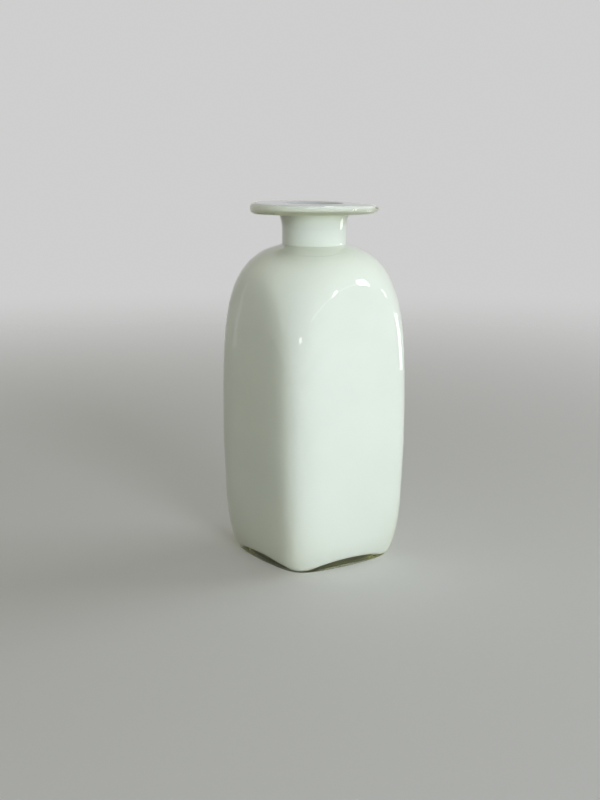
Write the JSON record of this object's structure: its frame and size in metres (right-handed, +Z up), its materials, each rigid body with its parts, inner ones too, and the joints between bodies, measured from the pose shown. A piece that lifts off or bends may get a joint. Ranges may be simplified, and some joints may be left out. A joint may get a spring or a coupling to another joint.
{
  "type": "glass bottle",
  "caption": "Square cased-glass bottle: white opal inside, clear outside, thick clear base, round waisted neck and a wide flat lip, open at the mouth.",
  "frame": {"origin": "centre of the base, on the plane the bottle stands on", "axes": "+Z up along the bore of the neck, -Y out of the front flat side, +X to the right of the front flat side"},
  "size_m": [0.083, 0.083, 0.2],
  "materials": {
    "clear_glass": "clear glass with a faint green tint, fire-polished",
    "opal_glass": "opaque white glass, glossy"
  },
  "bodies": {
    "root": {"clear_casing": "clear_glass", "opal_liner": "opal_glass", "lip_ring": "clear_glass"}
  },
  "joints": []
}
